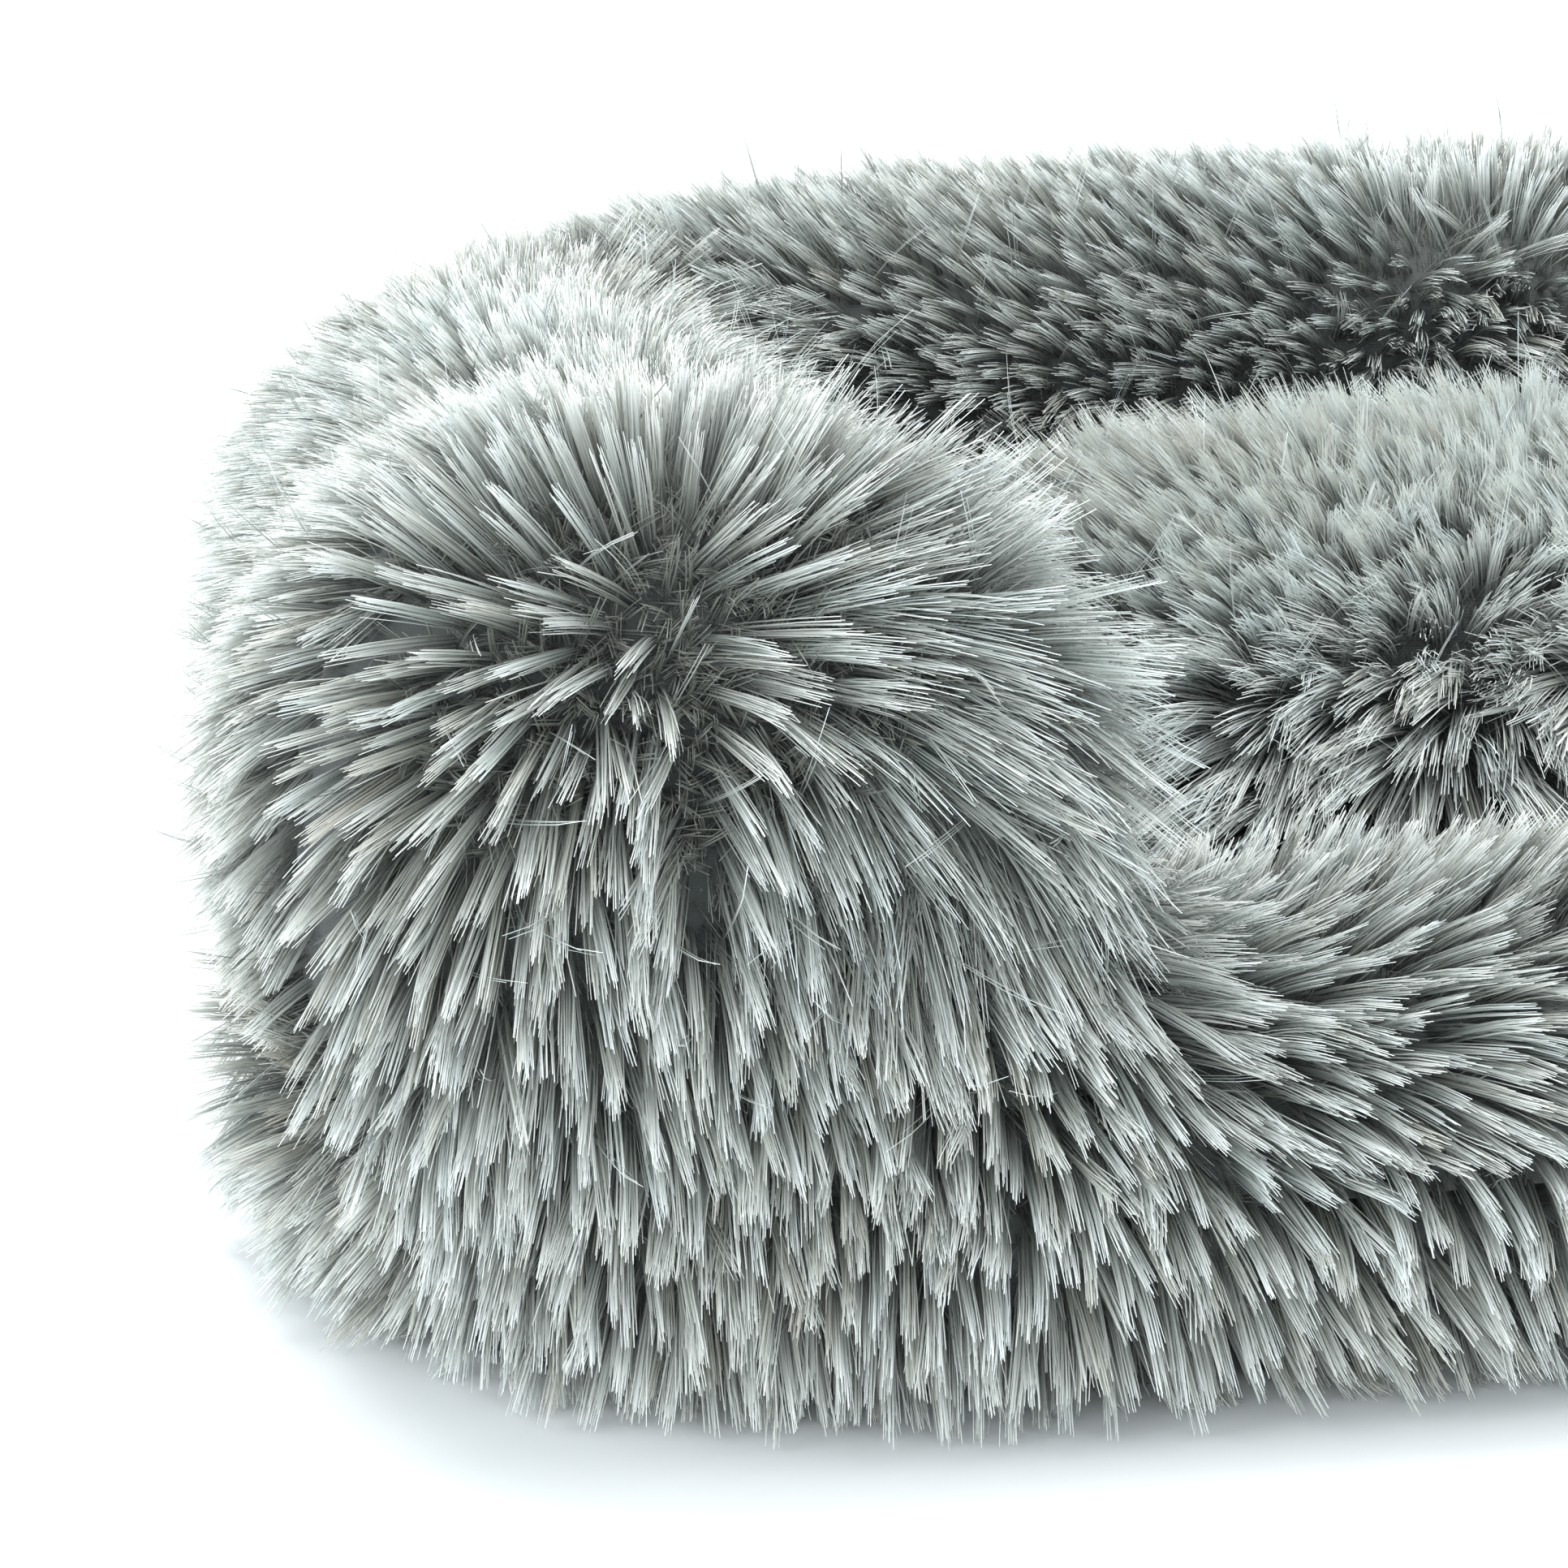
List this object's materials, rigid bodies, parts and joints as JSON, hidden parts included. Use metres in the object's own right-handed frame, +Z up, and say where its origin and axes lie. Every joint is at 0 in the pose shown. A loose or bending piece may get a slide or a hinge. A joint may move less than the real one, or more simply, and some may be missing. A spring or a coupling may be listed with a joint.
{
  "type": "pet cushion bed",
  "caption": "Rectangular long-pile plush pet bed with a bolster round three sides, a low front lip and a loose seat cushion.",
  "frame": {"origin": "centre of the bed's footprint on the floor", "axes": "+Z up, the open front with the low lip faces -Y, +X to the right seen from the front"},
  "size_m": [0.72, 0.52, 0.1998],
  "materials": {
    "plush_cover": "long-pile plush, silver grey",
    "liner_cloth": "thin white non-woven cloth",
    "fibre_fill": "fluffy polyester fibre",
    "padded_core": "dense polyester wadding",
    "underside_cloth": "matt woven polyester",
    "grip_rubber": "matt rubber dots",
    "zip_tape": "woven tape",
    "zip_coil": "moulded nylon coil",
    "zip_metal": "satin grey enamel",
    "label_cloth": "satin ribbon, blank"
  },
  "bodies": {
    "bed": {"base_cover": "plush_cover", "base_core": "padded_core", "bottom_panel": "underside_cloth", "grip_dots": "grip_rubber", "care_label": "label_cloth", "left_arm_cover": "plush_cover", "left_arm_fill": "fibre_fill", "left_arm_end_panel": "plush_cover", "right_arm_cover": "plush_cover", "right_arm_fill": "fibre_fill", "right_arm_end_panel": "plush_cover", "back_bolster_cover": "plush_cover", "back_bolster_fill": "fibre_fill", "front_lip_cover": "plush_cover", "front_lip_fill": "fibre_fill", "base_zip_tapes": "zip_tape", "base_zip_coils": "zip_coil", "base_zip_stops": "zip_metal"},
    "seat_cushion": {"seat_cushion_cover": "plush_cover", "seat_cushion_liner": "liner_cloth", "seat_cushion_fill": "fibre_fill", "cushion_zip_tapes": "zip_tape", "cushion_zip_coils": "zip_coil", "cushion_zip_stops": "zip_metal"},
    "base_zip_slider": {"base_zip_slider": "zip_metal"},
    "base_zip_pull": {"base_zip_pull": "zip_metal"},
    "cushion_zip_slider": {"cushion_zip_slider": "zip_metal"},
    "cushion_zip_pull": {"cushion_zip_pull": "zip_metal"}
  },
  "joints": [
    {"name": "seat_cushion_lift", "type": "slide", "parent": "bed", "child": "seat_cushion", "axis": [0, 0, 1], "range_m": [0, 0.2]},
    {"name": "base_zip_travel", "type": "slide", "parent": "bed", "child": "base_zip_slider", "axis": [-1, 0, 0], "range_m": [0, 0.327]},
    {"name": "base_zip_pull_flip", "type": "hinge", "parent": "base_zip_slider", "child": "base_zip_pull", "pos_m": [0.1635, 0.2453, 0.03], "axis": [0, 0, 1], "range_deg": [0, 150]},
    {"name": "cushion_zip_travel", "type": "slide", "parent": "seat_cushion", "child": "cushion_zip_slider", "axis": [-1, 0, 0], "range_m": [0, 0.227]},
    {"name": "cushion_zip_pull_flip", "type": "hinge", "parent": "cushion_zip_slider", "child": "cushion_zip_pull", "pos_m": [0.1135, 0.0593, 0.079], "axis": [0, 0, 1], "range_deg": [0, 150]}
  ]
}
